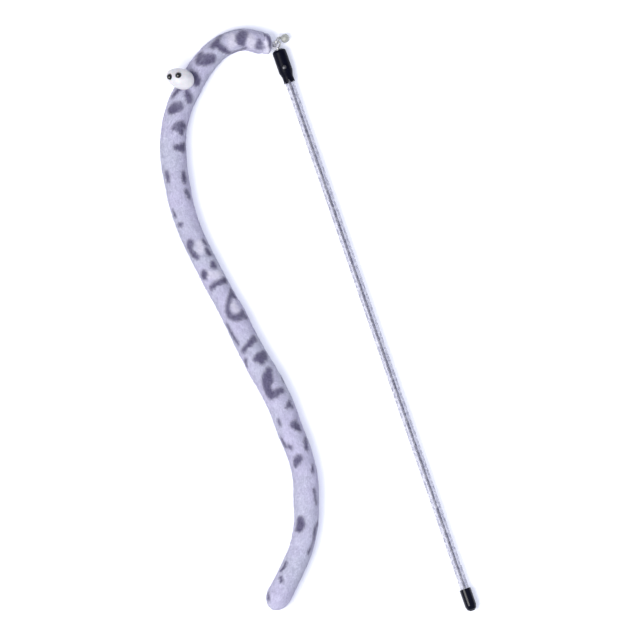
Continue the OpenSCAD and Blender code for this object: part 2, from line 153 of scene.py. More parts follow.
# %% [markdown]
# ## Light
# The photograph has pale, soft shadows to the right of the rod and the tail. A sun would draw
# them too hard, so one big round light stands to the left, and a weaker bluish one fills the
# other side. The second shows in no shiny piece, or else the cap would have two bright streaks.

# %% Lights
LIGHT_TARGET = (*PHOTO_CENTRE, 0)


def area_light(name, offset, size, power, colour):
    """A round light at an offset from the picture's centre, turned to face it."""
    light = bpy.data.lights.new(name, "AREA")
    light.shape, light.size, light.energy, light.color = "DISK", size, power, colour
    lamp = bpy.data.objects.new(name, light)
    bpy.context.scene.collection.objects.link(lamp)
    lamp.location = (PHOTO_CENTRE[0] + offset[0], PHOTO_CENTRE[1] + offset[1], offset[2])
    lamp.rotation_euler = (Vector(LIGHT_TARGET) - lamp.location).to_track_quat("-Z", "Y").to_euler()
    return lamp


key = area_light("key_light", offset=(-0.98, -0.12, 1.65), size=1.2, power=29,
                 colour=(1.0, 0.985, 0.95))
fill = area_light("fill_light", offset=(1.2, -0.6, 1.5), size=1.4, power=9,
                  colour=(0.90, 0.94, 1.0))
fill.visible_glossy = False
print("lights at", tuple(round(c, 2) for c in key.location), tuple(round(c, 2) for c in fill.location))

# %% [markdown]
# ## The world
# A white room lights the toy from every side. Metal and rubber mirror that room, and as bright as
# it has to be for the floor it would wash them out. So rays that come from a shiny surface see
# a darker room, which keeps the black black and gives the nickel its dark edges.

# %% World
SKY_COLOUR = (0.92, 0.945, 1.0, 1)
SKY_STRENGTH, SKY_IN_SHINE = 0.62, 0.24
world = bpy.data.worlds.new("studio")
bpy.context.scene.world = world
world.use_nodes = True
add = node_maker(world.node_tree)
sky = world.node_tree.nodes["Background"]
sky.inputs["Color"].default_value = SKY_COLOUR
ray = add("ShaderNodeLightPath")
sky_strength = add("ShaderNodeMapRange", Value=ray.outputs["Is Glossy Ray"], To_Min=SKY_STRENGTH,
                   To_Max=SKY_IN_SHINE)
world.node_tree.links.new(sky_strength.outputs[0], sky.inputs["Strength"])
print("world", world.name)

# %% [markdown]
# ## The floor
# The toy lies on white paper that runs into a white ground. White paint alone renders grey where
# the light is soft. The floor is a plain white plane, and a faint bluish glow is added only
# where the camera or a shiny piece sees it. So it reaches the photograph's white, its shadows
# stay pale and blue, and the glow doesn't light the toy from below.

# %% Floor
FLOOR_SIZE = 8.0
FLOOR_WHITE = (0.93, 0.93, 0.96, 1)
GLOW_COLOUR = (0.66, 0.71, 1.0, 1)
GLOW_STRENGTH = 0.26
half = FLOOR_SIZE / 2
floor_mesh = bpy.data.meshes.new("floor")
floor_mesh.from_pydata([(-half, -half, 0), (half, -half, 0), (half, half, 0), (-half, half, 0)], [],
                       [(0, 1, 2, 3)])
floor = bpy.data.objects.new("floor", floor_mesh)
bpy.context.scene.collection.objects.link(floor)
print("floor", FLOOR_SIZE, "m wide")

# %% Look of the floor
floor_material = bpy.data.materials.new("floor_white")
floor_material.use_nodes = True
floor_material.node_tree.nodes.clear()
add = node_maker(floor_material.node_tree)
path = add("ShaderNodeLightPath")
paper = add("ShaderNodeBsdfDiffuse", Color=FLOOR_WHITE)
glow = add("ShaderNodeEmission", Color=GLOW_COLOUR, Strength=GLOW_STRENGTH)
glowing_paper = add("ShaderNodeAddShader", _0=paper.outputs[0], _1=glow.outputs[0])
seen = arithmetic(add, "MAXIMUM", path.outputs["Is Camera Ray"], path.outputs["Is Glossy Ray"])
floor_mix = add("ShaderNodeMixShader", _0=seen, _1=paper.outputs[0], _2=glowing_paper.outputs[0])
add("ShaderNodeOutputMaterial", Surface=floor_mix.outputs[0])
floor_mesh.materials.append(floor_material)
print("look of the floor", floor_material.name)

# %% [markdown]
# ## The tail's route
# The real tail is one sewn tube round soft stuffing, and it lies in a long S. Its middle line
# could be a curve object, but then a second curve would have to be matched to the solids by eye.
# The solids are laid by headings: 26 equal steps, each with the direction that it runs in, and
# a thickness at each end of a step. The same list is used here, with a smooth curve through
# the steps' ends. It starts beside the link ring, by shares of the ring's radius from the place
# where the cord hangs. Places on the tail are counted in steps from its hanging end.

# %% Steps of the tail
TAIL_L = 516 * MM
TAIL_D = 21.8 * MM
NEAR_END, FAR_END = 3.6 * MM, 11.4 * MM
RING_R = 4.2 * MM
START_SHARES = np.array([-1.31, 0.91])
HEADINGS = [151, 181, 207, 219, 226, 239, 251, 259, 263, 269, 276, 278, 280,
            279, 277, 279, 281, 277, 271, 273, 264, 254, 249, 238, 227, 224]
LEAD_HEADING, TRAIL_HEADING = 172, 222
THICKNESS_SHARES = [0.83, 0.82, 0.86, 0.91, 0.95, 0.96, 0.97, 0.97, 0.95, 0.91, 0.88, 0.87, 0.87, 0.88,
                    0.91, 0.94, 0.98, 1, 0.99, 0.98, 0.95, 0.95, 0.95, 0.91, 0.89, 0.91, 0.92]
STEPS = len(HEADINGS)
STEP = TAIL_L / STEPS
print("tail", STEPS, "steps of", round(STEP, 4))

# %% Middle line of the tail


def direction_of(heading):
    """The direction in plan of a heading in degrees, from +X towards +Y."""
    return np.array([math.cos(math.radians(heading)), math.sin(math.radians(heading))])


line = [np.array(joint["tail_swing"]["pos_m"][:2]) + START_SHARES * RING_R]
for heading in HEADINGS:
    line.append(line[-1] + STEP * direction_of(heading))
line.insert(0, line[0] - STEP * direction_of(LEAD_HEADING))
line.append(line[-1] + STEP * direction_of(TRAIL_HEADING))
line = np.array(line)


def route(u):
    """Place, direction and radius of the tail at steps u, as arrays."""
    u = np.asarray(u, float)
    i = np.clip(np.floor(u), 0, STEPS - 1).astype(int)
    t = (u - i)[..., None]
    a, b, c, d = (line[i + k] for k in range(4))
    place = b + t / 2 * ((c - a) + t * ((2 * a - 5 * b + 4 * c - d) + t * (3 * b - a - 3 * c + d)))
    slope = (c - a) + 2 * t * (2 * a - 5 * b + 4 * c - d) + 3 * t * t * (3 * b - a - 3 * c + d)
    along = slope / np.linalg.norm(slope, axis=-1, keepdims=True)
    radius = TAIL_D / 2 * np.interp(u, range(STEPS + 1), THICKNESS_SHARES)
    return place, along, radius


ends, _, _ = route([0.0, STEPS])
print("tail from", ends[0].round(4), "to", ends[1].round(4))

# %% [markdown]
# ## The spots
# The coat is a pale plush with dark, broken spots. A printed picture wrapped round the tail would
# have one fixed sharpness. Here each spot is a chain of round dabs, placed at the photograph's
# pixels: x, y and radius in pixels. A dab can be moved by itself, and the material decides later
# how soft and ragged the edge of a spot is.

# %% Spots and painted shade from the hanging end to the eye piece
HOOK_SPOTS_AND_SHADE = [
    [(243.5, 34.5, 4.3), (241.8, 39, 5.0), (241.6, 41.8, 3.7), (244, 44.8, 1.7)],
    [(260.5, 41, 1.1), (260.3, 45, 2.6), (258.9, 48, 2.2), (262, 48, 2.2)],
    # A dark curved band along the rim of the hanging end, drawn as a chain of dabs in the spot colours.
    [(265.6, 34.2, 0.9), (267.8, 36.6, 2.0), (269.8, 40.7, 2.5), (270.8, 45.8, 2.3)],
    [(200.5, 55, 3.2), (201.2, 59.5, 5.2), (206.5, 59.5, 5.6), (211.5, 58.8, 4.8)],
    [(214.3, 45.2, 2.8), (216.5, 43, 3.4), (218.5, 40, 1.8)],
    [(217, 43.5, 3), (221.5, 47.5, 2.8), (226, 51, 2.5), (229.5, 53, 1.5), (235, 52.5, 1),
     (241, 50.5, 1), (246, 48.5, 1)],
    [(217.5, 38.5, 1), (222, 35, 0.9)],
    # Partly a spot and partly the eye piece's shadow, painted onto the coat at its right side.
    [(191, 72, 1.8), (194.5, 75.5, 3.4), (196.8, 80, 4.2), (197.8, 83, 3)],
]
print("spots at the hanging end", len(HOOK_SPOTS_AND_SHADE))

# %% Spots below the eye piece, with its painted shadow
UPPER_SPOTS_AND_SHADE = [
    # Spots below the eye piece, with its shadow painted in with them.
    [(179, 89, 2), (176, 92, 2.2), (173, 96, 1.7)],
    [(187.5, 92, 2.4), (189, 96.5, 3.3), (190.5, 100, 3.1)],
    [(171.5, 109, 3.8), (175.5, 107.3, 5.1), (179.5, 106, 4.5)],
    [(174.2, 127.8, 1.6), (178.2, 126.2, 3.6), (181.6, 124.4, 3.8), (184.8, 126.2, 2.8)],
    [(177, 128.2, 2.2), (179.5, 129.5, 2.6), (182, 130.5, 3), (182.4, 133.2, 1.4)],
    [(176, 147, 2), (180.5, 147.3, 3.5), (184, 146, 3)],
    [(184.5, 144, 1.7), (184, 150, 2)],
    [(166.3, 172.5, 2), (167.3, 177, 2.5), (168, 180, 1.7)],
    [(184, 173, 2), (184.3, 177, 2.8), (185, 181, 2.1)],
    [(186.8, 191, 2.3), (188.5, 192.8, 2.2), (189.5, 196.5, 1.8)],
    [(172.8, 210.5, 0.9), (175, 216, 0.9)],
    [(179, 224.5, 1.7), (181.5, 223.5, 1.1)],
]
print("spots below the eye piece", len(UPPER_SPOTS_AND_SHADE))

# %% Spots on the middle of the tail, with a fold's painted shade
MIDDLE_SPOTS_AND_SHADE = [
    [(190.5, 242.5, 3), (189, 246, 3), (190.5, 250.5, 2.4), (193.5, 254.5, 3), (196.5, 257, 2.4)],
    [(203.8, 240, 1.5), (206, 243, 1.3)],
    [(207.3, 249, 2), (209.2, 252.5, 2.4)],
    [(213, 262.3, 1.9), (212.8, 265.7, 2), (215.5, 265.5, 1.7)],
    [(203.8, 273, 3), (203.3, 276.5, 2.6)],
    [(211, 287.5, 1.8), (214.5, 284, 2.1), (220, 281.6, 2.2), (225, 279.3, 2.7)],
    [(231.3, 288.8, 1), (232.3, 293, 2.3), (234.8, 296, 1.6)],
    [(231.5, 293.5, 2.1), (229.2, 299, 1.8), (227.4, 305.5, 1.6), (227.8, 311, 2), (230.3, 315.8, 3),
     (234.5, 317.2, 2.9), (239, 316.6, 3), (242.7, 313.6, 2.8), (242.3, 310.6, 1.5)],
    [(242, 315, 2.5), (246.5, 316.6, 1.5)],
    [(227, 324.5, 1), (230.5, 331.5, 1.1), (234.3, 338, 1.1), (237.5, 343, 1.2)],
    [(242.8, 350, 2), (247.5, 345, 2), (251.5, 340.8, 2.7), (254, 337.8, 2.9)],
    [(245.6, 359.2, 1.2), (244.6, 361.8, 1.2), (246.2, 366, 0.6)],
    [(256, 358.3, 2.7), (260, 356.5, 4.4), (264, 355.5, 4.5), (264.3, 352.5, 2.8)],
    [(260, 358, 3), (261.5, 360.8, 3.2)],
    [(268.8, 369.8, 2.9), (267.6, 375, 4.5), (267.3, 380, 5.5), (266, 385, 3.9), (267.5, 390, 3.7),
     (270.5, 394.5, 4.3), (275, 393, 3.7), (279, 390.7, 2.9), (282.3, 389.2, 1.6)],
    # Painted shade: a thin dark line where the plush folds at the right edge.
    [(281.5, 377, 0.5), (283.5, 381, 0.3)],
]
print("spots on the middle", len(MIDDLE_SPOTS_AND_SHADE))

# %% Spots towards the tip of the tail
LOWER_SPOTS = [
    [(289.8, 400.8, 1.1), (289.4, 404, 2.4), (292.8, 406, 1.1)],
    [(289.4, 404, 2), (286.5, 406.5, 0.8)],
    [(278, 420, 1.1), (279.6, 424.5, 1)],
    [(296, 421.5, 2.4), (294.3, 424, 3.7), (297, 425.5, 3.8), (299, 428, 2.3), (300.6, 429.8, 1)],
    [(305.8, 437, 1.1), (305.7, 441.5, 1.8), (306.6, 446.5, 2)],
    [(281, 438.5, 1.1), (283.5, 442.8, 1.5), (285.5, 446, 1.4)],
    [(288, 445.5, 1.3), (290, 447, 1.7)],
    [(298.8, 457.3, 3.4), (296.5, 460, 3.7), (295.2, 464, 2.3)],
    [(313, 464.5, 0.7), (312.7, 469.8, 1.4)],
    [(314.2, 489, 0.8), (315.2, 495, 0.9), (316.5, 502, 0.8)],
    [(300, 519.5, 4), (300.3, 523.5, 4.5), (299, 527.5, 3.9), (296.8, 529, 1.9)],
    [(318, 521.5, 0.8), (315.6, 527.5, 1.5), (314.6, 533, 1.6), (313.8, 540, 0.5), (311.8, 546, 0.5),
     (309.3, 551.5, 1)],
    [(286, 562, 1.2), (284, 566, 1.5), (281, 570, 1.1)],
    [(280.5, 577, 1.6), (281.3, 579.5, 1.6)],
    [(267.9, 593, 1.3), (267.8, 597.5, 1.7)],
]
print("spots towards the tip", len(LOWER_SPOTS))

# %% Pale patches between the spots
PALE_PATCHES = [
    [(232.5, 36, 3.6), (233, 45, 3.8)],
    [(251.5, 38, 3.6), (252, 46, 4)],
    [(268, 44, 2.4), (268.5, 52, 2.4)],
    [(199.5, 242, 2.8), (200.5, 249.5, 3.2)],
    [(209, 273.5, 3), (216, 274.5, 3.6), (221, 272, 2.5)],
    [(233, 303, 3.2), (236, 309, 3)],
]
print("pale patches", len(PALE_PATCHES))

# %% [markdown]
# ## From the photograph to the skin
# The photograph looks down on a round tail, so a dab near its edge really lies on its side. Each
# pixel is looked up on the middle line, and its distance to one side gives an angle round the
# tail. Steps and angle are the skin's own flat map. Over a rounded end the map goes on along the
# dome, or else the dabs there would be smeared out towards its middle. Each dab is made 0.75
# pixel larger than it looks, because its soft edge takes about that much away.

# %% The skin's flat map


def flattened(u):
    """Steps along the skin, counting the way over the rounded ends, and its radius there."""
    inside = np.clip(u, 0, STEPS)
    radius = route(inside)[2]
    beyond = (u - inside) * STEP
    share = np.clip(np.abs(beyond) / np.where(beyond < 0, NEAR_END, FAR_END), 0, 1)
    rim = radius * np.sqrt(1 - share ** 2)
    return inside + np.sign(beyond) * np.hypot(beyond, radius - rim) / STEP, rim


SEARCH_FROM, SEARCH_PAST, SEARCH_PLACES = -0.15, 0.3, 2646
EDGE_SHARE = 0.97
search_u = np.linspace(SEARCH_FROM, STEPS + SEARCH_PAST, SEARCH_PLACES)
search_place, search_along, search_radius = route(search_u)


def unrolled(x, y):
    """Steps along the tail and angle round it, from its top, of the photograph's pixel (x, y)."""
    p = plan(x, y)
    k = int(np.argmin(np.linalg.norm(search_place - p, axis=1)))
    left = np.array([-search_along[k][1], search_along[k][0]])
    side = float((p - search_place[k]) @ left) / search_radius[k]
    return float(flattened(search_u[k])[0]), math.asin(max(-EDGE_SHARE, min(EDGE_SHARE, side)))


def dabs_of(spots, grow=0.0):
    """The chains of dabs on the skin, as steps, angle and radius in metres."""
    return [[(*unrolled(x, y), (r + grow) * PIXEL) for x, y, r in chain] for chain in spots]


SPOT_GROW = 0.75
dabs = dabs_of(HOOK_SPOTS_AND_SHADE + UPPER_SPOTS_AND_SHADE + MIDDLE_SPOTS_AND_SHADE + LOWER_SPOTS, SPOT_GROW)
pale_dabs = dabs_of(PALE_PATCHES)
print("spots in the photograph", len(dabs))

# %% [markdown]
# ## Spots on the underside
# The photograph doesn't show the underside, and the same plush goes all the way round. Spots like
# the others are drawn there by chance, one in each of 44 equal lengths so that none is bare,
# with a fixed seed so that they come out the same each time.

# %% Spots on the underside
HIDDEN_SPOTS = 44
HIDDEN_FROM, HIDDEN_LENGTH = 0.8, STEPS - 1.4
HIDDEN_JITTER = (0.2, 0.8)
HIDDEN_ROUND = 0.95
HIDDEN_SIZE_IN_MM = (1.6, 3.8)
HIDDEN_REACH_SHARES = (0.5, 2.4)
HIDDEN_SIZE_SHARES = (0.7, 1)
draw = np.random.default_rng(SEED)
for k in range(HIDDEN_SPOTS):
    u0 = HIDDEN_FROM + HIDDEN_LENGTH * (k + draw.uniform(*HIDDEN_JITTER)) / HIDDEN_SPOTS
    a0 = math.pi + draw.uniform(-HIDDEN_ROUND, HIDDEN_ROUND)
    size = draw.uniform(*HIDDEN_SIZE_IN_MM) * MM
    turn = draw.uniform(0, math.pi)
    reach = draw.uniform(*HIDDEN_REACH_SHARES) * size
    dabs.append([(u0 + s * reach * math.cos(turn) / STEP,
                  a0 + s * reach * math.sin(turn) / (TAIL_D / 2),
                  size * draw.uniform(*HIDDEN_SIZE_SHARES)) for s in (-1, 0, 1)])
print("spots with the hidden ones", len(dabs))

# %% [markdown]
# ## How deep inside a spot
# The mesh can't hold the chains of dabs, but each of its points can hold one number: how deep it
# lies inside the nearest chain of dabs (spots and painted shade alike), or how far outside it, in
# metres. The material turns that number into an edge of any softness, which a plain yes or no at
# each point couldn't give.

# %% Depth inside a chain of dabs
FAR_OUTSIDE = -20 * MM
TINY_AREA = 1e-12


def depth_in(chains, u, angle, radius):
    """How deep inside a chain of dabs each place on the skin is, in metres, negative outside."""
    best = np.full(u.shape, FAR_OUTSIDE)
    for chain in chains:
        for (u0, a0, r0), (u1, a1, r1) in zip(chain[:-1], chain[1:]):
            du = (u - u0) * STEP
            da = ((angle - a0 + math.pi) % (2 * math.pi) - math.pi) * radius
            ex, ey = (u1 - u0) * STEP, (a1 - a0) * radius
            t = np.clip((du * ex + da * ey) / np.maximum(ex * ex + ey * ey, TINY_AREA), 0, 1)
            best = np.maximum(best, r0 + (r1 - r0) * t - np.hypot(du - t * ex, da - t * ey))
    return best


top_of_tail = depth_in(dabs, search_u, np.zeros(SEARCH_PLACES), search_radius)
print("share of the tail's top line inside a spot", round(float((top_of_tail > 0).mean()), 2))

# %% [markdown]
# ## Materials
# No real surface has one colour. Pictures of surfaces would have to be laid on each solid, and
# they blur close up. Noise worked out in space has detail at any distance and needs no laying,
# so every material here is made of it, at the scale of the real grain.

# %% Material helpers


def new_material(name):
    """An empty material and the function that adds nodes to it."""
    material = bpy.data.materials.new(name)
    material.use_nodes = True
    material.node_tree.nodes.clear()
    return material, node_maker(material.node_tree)


def noise(add, place, scale, detail, roughness):
    """Noise at a scale in cycles a metre."""
    return add("ShaderNodeTexNoise", Vector=place, Scale=scale, Detail=detail,
               Roughness=roughness).outputs["Fac"]


def stretched(add, place, stretch):
    """The place with its axes scaled: below 1 draws the grain out along that axis."""
    return add("ShaderNodeMapping", Vector=place, Scale=stretch).outputs[0]


def ramp(add, value, stops):
    """A colour for a value, by stops of a place from 0 to 1 and a colour."""
    node = add("ShaderNodeValToRGB", Fac=value)
    while len(node.color_ramp.elements) < len(stops):
        node.color_ramp.elements.new(0.5)
    for stop, (at, colour) in zip(node.color_ramp.elements, stops):
        stop.position, stop.color = at, (*colour, 1)
    return node.outputs["Color"]


def spread(add, value, given, wanted):
    """The value, with its given range turned into the wanted one."""
    return add("ShaderNodeMapRange", Value=value, From_Min=given[0], From_Max=given[1],
               To_Min=wanted[0], To_Max=wanted[1]).outputs[0]


# %% [markdown]
# ## Hard pieces
# Moulded plastic, plated wire and steel are made in one way here: their colour and their gloss
# drift a little across the piece, as after handling, and a fine bump breaks up the light. What
# sets them apart is how dark, how rough and how metallic they are, so one function makes all.

# %% Look of a hard piece
GRAIN_ROUGHNESS = 0.55
GRAIN_DETAIL, FINE_DETAIL = 4, 3
DARK_AT, LIGHT_AT = 0.35, 0.65
ROUGH_SPAN = (0.3, 0.7)
BUMP_H = 0.2 * MM


def solid_look(name, dark, light, rough, metallic=0.0, scale=900, bump=0.0, bump_scale=3000, **more):
    """A surface whose colour and roughness drift between two values, with a fine bump."""
    material, add = new_material(name)
    place = add("ShaderNodeTexCoord").outputs["Object"]
    drift = noise(add, place, scale, GRAIN_DETAIL, GRAIN_ROUGHNESS)
    fine = noise(add, place, bump_scale, FINE_DETAIL, GRAIN_ROUGHNESS)
    height = add("ShaderNodeBump", Height=fine, Strength=bump, Distance=BUMP_H)
    colour = ramp(add, drift, [(DARK_AT, dark), (LIGHT_AT, light)])
    shader = add("ShaderNodeBsdfPrincipled", Base_Color=colour, Metallic=metallic,
                 Roughness=spread(add, drift, ROUGH_SPAN, rough), Normal=height.outputs[0], **more)
    add("ShaderNodeOutputMaterial", Surface=shader.outputs[0])
    return material


# %% [markdown]
# ## Black connector and cap
# The connector is a matt moulding and the cap a smoother one, which has a clear streak of light in
# the photograph. Pure black would look like a hole, so both are a very dark blue, as the
# photograph's blacks are. They differ in roughness and in how much they mirror.

# %% Black mouldings
black = solid_look("black_rubber", (0.0012, 0.0016, 0.0080), (0.0028, 0.0034, 0.0130), (0.34, 0.46),
                   bump=0.15, bump_scale=2600, Specular_IOR_Level=0.10)
black_cap = solid_look("black_cap", (0.0012, 0.0016, 0.0080), (0.0026, 0.0032, 0.0125), (0.16, 0.22),
                       bump=0.05, bump_scale=2600, Specular_IOR_Level=0.27)
print("black", black.name, black_cap.name)

# %% [markdown]
# ## Metals
# The swivel's eye and the link ring are plated and bright, the bell is a duller, softer white, and
# the pin and the drawn wire are darker steel. Metals take their look from what they mirror, so
# each is told apart by its roughness as much as by its colour.

# %% Metals
dark_steel = solid_look("dark_steel", (0.14, 0.14, 0.16), (0.26, 0.26, 0.29), (0.32, 0.45),
                        metallic=1.0, scale=1400, bump=0.15)
nickel = solid_look("nickel", (0.70, 0.70, 0.71), (0.90, 0.90, 0.90), (0.34, 0.48), metallic=1.0,
                    scale=700, bump=0.12)
bell_metal = solid_look("bell_metal", (0.54, 0.55, 0.53), (0.78, 0.79, 0.765), (0.62, 0.78),
                        metallic=0.85, scale=420, bump=0.25)
crimp = solid_look("crimp_metal", (0.55, 0.55, 0.57), (0.72, 0.72, 0.74), (0.35, 0.5), metallic=1.0)
pea_steel = solid_look("pea_steel", (0.22, 0.22, 0.23), (0.36, 0.36, 0.38), (0.35, 0.5), metallic=1.0)
steel = solid_look("steel_core", (0.10, 0.10, 0.14), (0.42, 0.42, 0.52), (0.32, 0.5), metallic=0.85,
                   scale=1500, bump=0.2)
print("metals", [m.name for m in (dark_steel, nickel, bell_metal, crimp, pea_steel, steel)])

# %% [markdown]
# ## Eye piece
# The eye piece is white plastic that light goes a little way into, so it gets some scatter under
# its surface. The pupils are polished black beads, so they get a clear coat with a sharp
# highlight. The thread that holds the piece is dull and fibrous.

# %% Eye piece
white = solid_look("white_plastic", (0.60, 0.59, 0.64), (0.68, 0.67, 0.715), (0.32, 0.46), scale=260,
                   bump=0.2, bump_scale=1800, Subsurface_Weight=0.12, Subsurface_Scale=2 * MM)
bead = solid_look("black_bead", (0.004, 0.004, 0.005), (0.008, 0.008, 0.01), (0.05, 0.1),
                  Coat_Weight=1.0, Coat_Roughness=0.04)
thread = solid_look("thread", (0.22, 0.21, 0.30), (0.34, 0.32, 0.44), (0.8, 0.95), scale=2500, bump=0.6)
print("eye piece", white.name, bead.name, thread.name)

# %% [markdown]
# ## Clear sleeve
# The sleeve is a clear plastic hose over the wire, scuffed, and it mirrors the room and bends the
# wire behind it into dark and bright specks. These specks are painted reflection and refraction:
# dark and bright flecks in the wall's colour. Real glass-like refraction is slow and, on a piece
# 7 mm wide, hardly seen. The sleeve is a mix instead: mostly see-through, with a speckled surface
# that grows thicker towards its edges, where one looks through more of the wall.

# %% Clear sleeve
SPECKS, CLOUDS = 520, 240
SPECK_STRETCH, CLOUD_STRETCH = (1, 0.8, 1), (1, 0.5, 1)
SPECK_REFLECTIONS = [(0.36, (0.13, 0.13, 0.19)), (0.48, (0.42, 0.42, 0.52)), (0.60, (0.86, 0.86, 0.92))]
CLOUD_SPAN, HAZE = (0.3, 0.7), (0.10, 0.26)
EDGE_SPAN, EDGE_HAZE = (0.05, 0.5), (0.0, 0.5)
clear, add = new_material("clear_plastic")
place = add("ShaderNodeTexCoord").outputs["Object"]
speck = noise(add, stretched(add, place, SPECK_STRETCH), SPECKS, detail=4, roughness=0.6)
cloud = noise(add, stretched(add, place, CLOUD_STRETCH), CLOUDS, detail=3, roughness=0.55)
# The wall's colour: dark and bright specks painted in for what the sleeve mirrors and bends.
tint = ramp(add, speck, SPECK_REFLECTIONS)
scuffs = add("ShaderNodeBump", Height=speck, Strength=0.35, Distance=BUMP_H)
wall = add("ShaderNodeBsdfPrincipled", Base_Color=tint, Roughness=0.28, Normal=scuffs.outputs[0],
           Coat_Weight=0.6, Coat_Roughness=0.12)
through = add("ShaderNodeBsdfTransparent", Color=(0.93, 0.93, 0.97, 1))
facing = add("ShaderNodeLayerWeight", Blend=0.5).outputs["Facing"]
cover = arithmetic(add, "ADD", spread(add, cloud, CLOUD_SPAN, HAZE),
                   spread(add, facing, EDGE_SPAN, EDGE_HAZE))
clear_mix = add("ShaderNodeMixShader", _0=cover, _1=through.outputs[0], _2=wall.outputs[0])
add("ShaderNodeOutputMaterial", Surface=clear_mix.outputs[0])
print("sleeve", clear.name)

# %% [markdown]
# ## Plush
# The coat is short lilac plush. Its colour drifts to grey in places, its fibres stand in clumps that
# catch more or less light, and the violet spots have edges made ragged by the pile. Skin and
# pile share one look, and read what is stored on their meshes: the place on the skin, the depth
# inside a spot or a pale patch, and a tone of their own.

# %% Colours and grains of the plush
COAT = [(0.30, (0.455, 0.435, 0.60)), (0.5, (0.545, 0.525, 0.70)), (0.72, (0.64, 0.62, 0.80))]
GREY_COAT = [(0.30, (0.44, 0.45, 0.58)), (0.5, (0.53, 0.54, 0.67)), (0.72, (0.62, 0.63, 0.76))]
PALE_COAT = [(0.30, (0.60, 0.58, 0.70)), (0.5, (0.70, 0.68, 0.80)), (0.72, (0.80, 0.78, 0.88))]
# The spot colours also paint the eye piece's shadow and a fold's shade, drawn as dabs among the spots.
SPOT = [(0.30, (0.088, 0.078, 0.155)), (0.7, (0.160, 0.145, 0.262))]
WORN_SPOT = [(0.30, (0.165, 0.155, 0.255)), (0.7, (0.265, 0.255, 0.375))]
FIBRES, CLUMPS, TEETH, WEAR, DRIFT = 1700, 1150, 420, 110, 38
NAP_STRETCH = (0.45, 1, 1)
NAP_H = 0.6 * MM
CLUMP = 0.75
RAGGED_FINE, RAGGED_COARSE = 2.2 * MM, 1.6 * MM
EDGE_AT, EDGE_SOFT = 1.9 * MM, 1.8 * MM
DRIFT_SPAN, GREYNESS = (0.42, 0.62), (0.0, 0.75)
PALE_SPAN, PALENESS = (-2.2 * MM, 1.6 * MM), (0.0, 0.85)
WEAR_SPAN, WORN = (0.45, 0.68), (0.0, 0.8)
print("grains of the plush, in cycles a metre", FIBRES, CLUMPS, TEETH, WEAR, DRIFT)

# %% Parts of the plush look


def stored(add, name):
    """A number that is stored on the mesh under a name."""
    return add("ShaderNodeAttribute", {"attribute_name": name}).outputs["Fac"]


def blend_colours(add, share, first, second):
    """The first colour, with the second over it by a share."""
    node = add("ShaderNodeMix", {"data_type": "RGBA"}, Factor=share, _6=first, _7=second)
    return node.outputs[2]


def spot_share(add, place, fibres):
    """How much of the spot shows: the depth inside it, made ragged by a fine and a coarse grain."""
    teeth = noise(add, place, TEETH, detail=3, roughness=0.6)
    ragged = arithmetic(add, "MULTIPLY_ADD", fibres, RAGGED_FINE, stored(add, "spot_depth"))
    ragged = arithmetic(add, "MULTIPLY_ADD", teeth, RAGGED_COARSE, ragged)
    return add("ShaderNodeMapRange", {"interpolation_type": "SMOOTHSTEP"}, Value=ragged,
               From_Min=EDGE_AT - EDGE_SOFT, From_Max=EDGE_AT + EDGE_SOFT).outputs[0]


def coat_colour(add, place, shade):
    """Lilac that drifts to grey along the tail, with the pale patches over it."""
    drift = noise(add, place, DRIFT, detail=2, roughness=0.5)
    greyness = spread(add, drift, DRIFT_SPAN, GREYNESS)
    coat = blend_colours(add, greyness, ramp(add, shade, COAT), ramp(add, shade, GREY_COAT))
    paleness = spread(add, stored(add, "pale_depth"), PALE_SPAN, PALENESS)
    return blend_colours(add, paleness, coat, ramp(add, shade, PALE_COAT))


def spot_colour(add, place, shade):
    """Dark violet, paler where the pile is worn."""
    wear = noise(add, place, WEAR, detail=3, roughness=0.6)
    worn = spread(add, wear, WEAR_SPAN, WORN)
    return blend_colours(add, worn, ramp(add, shade, SPOT), ramp(add, shade, WORN_SPOT))


# %% Plush material


def plush_look(name, bump_strength):
    """Short plush, as seen on the skin or on the tufts that stand off it."""
    material, add = new_material(name)
    place = add("ShaderNodeAttribute", {"attribute_name": "skin_place"}).outputs["Vector"]
    fibres = noise(add, stretched(add, place, NAP_STRETCH), FIBRES, detail=4, roughness=0.7)
    clumps = noise(add, place, CLUMPS, detail=2, roughness=0.5)
    shade = arithmetic(add, "ADD", fibres, stored(add, "tone"))
    shade = arithmetic(add, "ADD", shade, spread(add, clumps, (0, 1), (-CLUMP, CLUMP)))
    colour = blend_colours(add, spot_share(add, place, fibres), coat_colour(add, place, shade),
                           spot_colour(add, place, shade))
    height = add("ShaderNodeBump", Height=fibres, Strength=bump_strength, Distance=NAP_H)
    shader = add("ShaderNodeBsdfPrincipled", Base_Color=colour, Roughness=0.95, Sheen_Weight=0.28,
                 Sheen_Roughness=0.5, Sheen_Tint=(0.92, 0.9, 1, 1), Normal=height.outputs[0])
    add("ShaderNodeOutputMaterial", Surface=shader.outputs[0])
    return material


plush = plush_look("plush", bump_strength=0.7)
pile_look = plush_look("plush_pile", bump_strength=0.0)
print("materials", len(bpy.data.materials))

# %% [markdown]
# ## Mesh helpers
# The skin, the cord and the wires are all tubes: rings of points along a line, joined by faces.
# Blender's curves can be given a thickness too, but here every point has to know its place on
# the skin, so the rings are worked out as arrays and turned into a mesh at once.

# %% Meshes


def mesh_object(name, points, faces, material):
    """A smooth piece of one material."""
    mesh = bpy.data.meshes.new(name)
    mesh.from_pydata(np.asarray(points).tolist(), [], faces)
    mesh.polygons.foreach_set("use_smooth", [True] * len(mesh.polygons))
    mesh.materials.append(material)
    mesh.update()
    piece = bpy.data.objects.new(name, mesh)
    bpy.context.scene.collection.objects.link(piece)
    return piece


